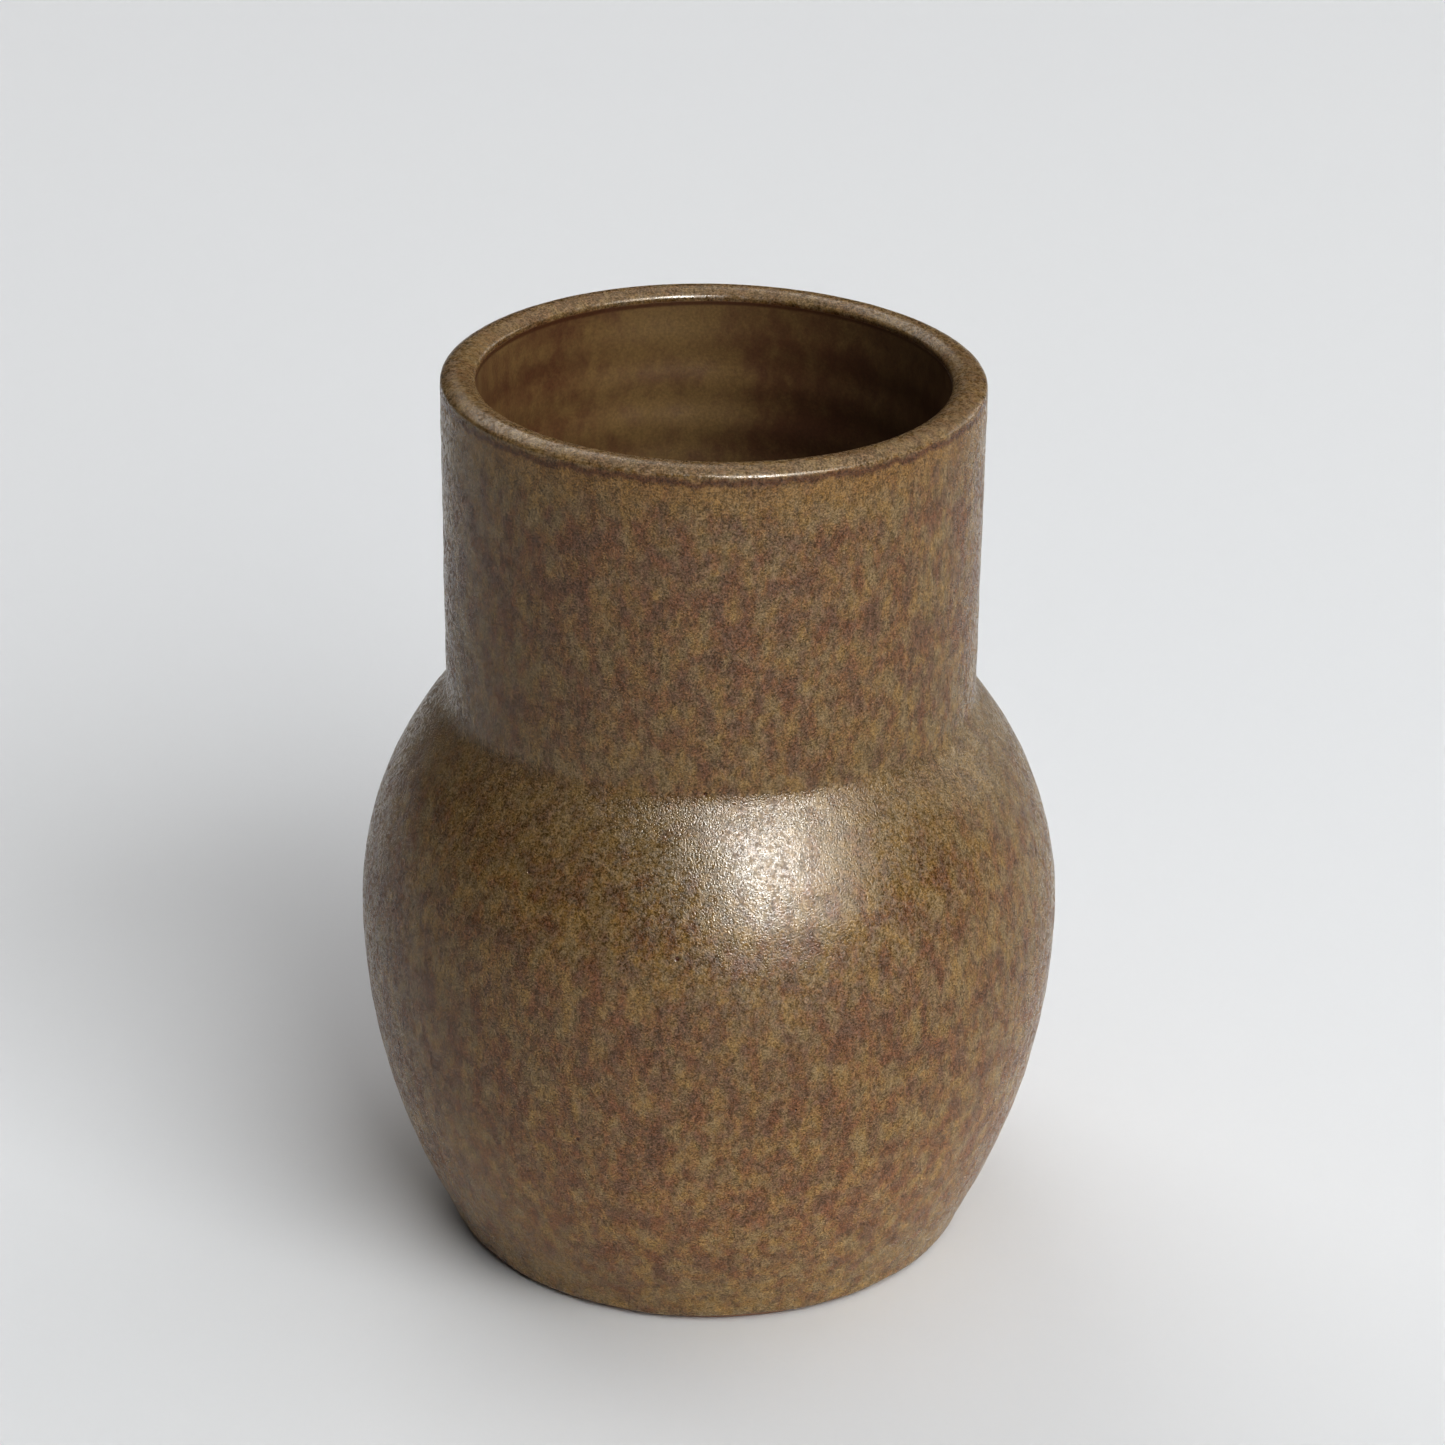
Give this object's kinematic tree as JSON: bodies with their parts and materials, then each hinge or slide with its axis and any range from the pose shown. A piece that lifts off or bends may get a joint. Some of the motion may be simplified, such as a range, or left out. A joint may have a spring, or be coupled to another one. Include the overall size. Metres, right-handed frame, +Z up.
{
  "type": "ceramic bud vase",
  "caption": "Small thrown stoneware vase: wide cylindrical neck with a rounded lip on a round bulb, mottled satin glaze inside and out, bare foot ring.",
  "frame": {"origin": "centre of the foot, on the plane the vase stands on", "axes": "+Z up along the vase's axis, from the foot to the lip; the vase is round, so +X and +Y are free"},
  "size_m": [0.0928, 0.0928, 0.12],
  "materials": {
    "bare_stoneware": "matte",
    "outer_glaze": "satin",
    "lip_glaze": "satin",
    "liner_glaze": "satin"
  },
  "bodies": {
    "root": {"foot_ring": "bare_stoneware", "bulb_body": "bare_stoneware", "neck_collar": "bare_stoneware", "outer_glaze": "outer_glaze", "lip_glaze": "lip_glaze", "inner_glaze": "liner_glaze"}
  },
  "joints": []
}
